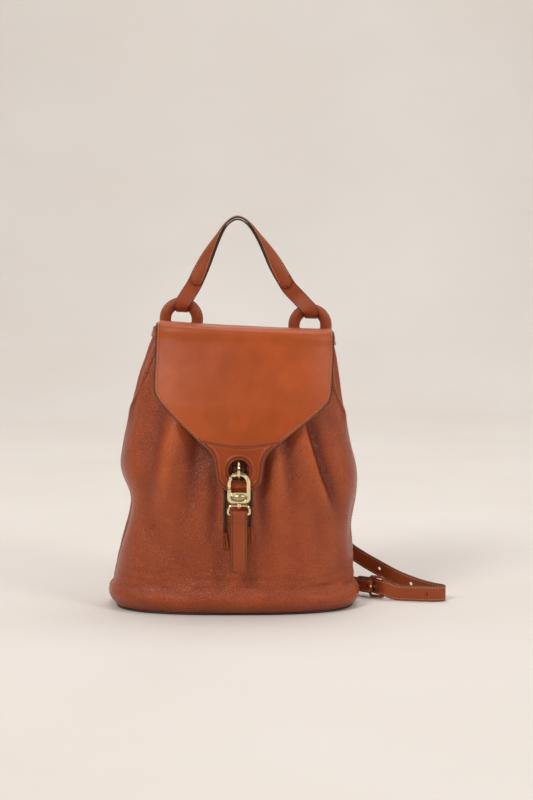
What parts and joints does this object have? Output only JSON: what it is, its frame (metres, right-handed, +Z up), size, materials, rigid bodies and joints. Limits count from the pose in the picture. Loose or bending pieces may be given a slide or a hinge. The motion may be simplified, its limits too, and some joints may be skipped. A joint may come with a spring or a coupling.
{
  "type": "leather backpack",
  "caption": "Upright leather drawstring backpack with a pointed flap, snap hook closure, top handle on covered rings and buckled shoulder straps.",
  "frame": {"origin": "centre of the base's underside, where the bag stands", "axes": "+Z up, +Y towards the wearer's back, +X to the right as the flap is looked at"},
  "size_m": [0.4078, 0.274, 0.4669],
  "materials": {
    "grained_leather": "pebbled, semi-matte",
    "smooth_leather": "smooth, satin",
    "strap_leather": "smooth, satin, painted edges",
    "lining_fabric": "matte cotton",
    "board": "matte fibre board",
    "brass": "polished",
    "steel": "plain",
    "black_cord": "waxed, matte"
  },
  "bodies": {
    "bag": {"front_panel": "grained_leather", "back_panel": "grained_leather", "base_panel": "smooth_leather", "base_board": "board", "lining": "lining_fabric", "rim_binding": "smooth_leather", "drawstring_casing": "lining_fabric", "eyelet_left": "brass", "eyelet_right": "brass", "drawstring": "black_cord", "drawstring_end_left": "black_cord", "drawstring_end_right": "black_cord", "cord_tip_left": "strap_leather", "cord_tip_right": "strap_leather", "flap_anchor": "smooth_leather", "front_chape": "strap_leather", "ring_chape_left": "strap_leather", "ring_chape_right": "strap_leather", "shoulder_strap_left": "strap_leather", "shoulder_strap_right": "strap_leather", "lower_strap_left": "strap_leather", "lower_strap_right": "strap_leather", "buckle_frame_left": "strap_leather", "buckle_frame_right": "strap_leather", "buckle_prong_left": "brass", "buckle_prong_right": "brass"},
    "flap": {"flap": "smooth_leather", "flap_lining": "lining_fabric", "tab_overlay": "smooth_leather", "loop_ring": "brass"},
    "hook": {"hook_body": "brass", "gate_pin": "brass", "swivel_rivet": "brass"},
    "gate": {"hook_gate": "brass"},
    "swivel": {"swivel_eye": "brass"},
    "pull_strap": {"pull_strap": "strap_leather"},
    "ring_left": {"ring_cover_left": "smooth_leather", "ring_core_left": "steel"},
    "ring_right": {"ring_cover_right": "smooth_leather", "ring_core_right": "steel"},
    "handle": {"handle_strap": "strap_leather", "handle_overlay": "strap_leather"}
  },
  "joints": [
    {"name": "flap_hinge", "type": "hinge", "parent": "bag", "child": "flap", "pos_m": [0.0125, 0.0545, 0.329], "axis": [-0.9988, 0, 0.0499], "range_deg": [0, 72]},
    {"name": "clasp_swing", "type": "hinge", "parent": "flap", "child": "hook", "pos_m": [0.007, -0.0952, 0.1692], "axis": [-1, 0, 0], "range_deg": [0, 80]},
    {"name": "gate_hinge", "type": "hinge", "parent": "hook", "child": "gate", "pos_m": [-0.0041, -0.0952, 0.1486], "axis": [0, 1, 0], "range_deg": [0, 19], "stiffness_Nm_per_rad": 0.02, "springref_deg": -14.32},
    {"name": "swivel_turn", "type": "hinge", "parent": "hook", "child": "swivel", "pos_m": [0.007, -0.0952, 0.1325], "axis": [0, 0, 1], "range_deg": [-90, 90]},
    {"name": "pull_strap_hinge", "type": "hinge", "parent": "swivel", "child": "pull_strap", "pos_m": [0.007, -0.0952, 0.1222], "axis": [-1, 0, 0], "range_deg": [0, 100]},
    {"name": "ring_hinge_left", "type": "hinge", "parent": "bag", "child": "ring_left", "pos_m": [-0.06733, 0.068, 0.32239], "axis": [-0.9988, 0, 0.0499], "range_deg": [0, 65]},
    {"name": "ring_hinge_right", "type": "hinge", "parent": "bag", "child": "ring_right", "pos_m": [0.09147, 0.068, 0.31445], "axis": [-0.9988, 0, 0.0499], "range_deg": [0, 65]},
    {"name": "handle_hinge", "type": "hinge", "parent": "ring_left", "child": "handle", "pos_m": [-0.06547, 0.068, 0.35955], "axis": [-0.9988, 0, 0.0499], "range_deg": [0, 30]}
  ],
  "couplings": [
    {"joint": "ring_hinge_right", "follows": "ring_hinge_left", "ratio": 1}
  ]
}
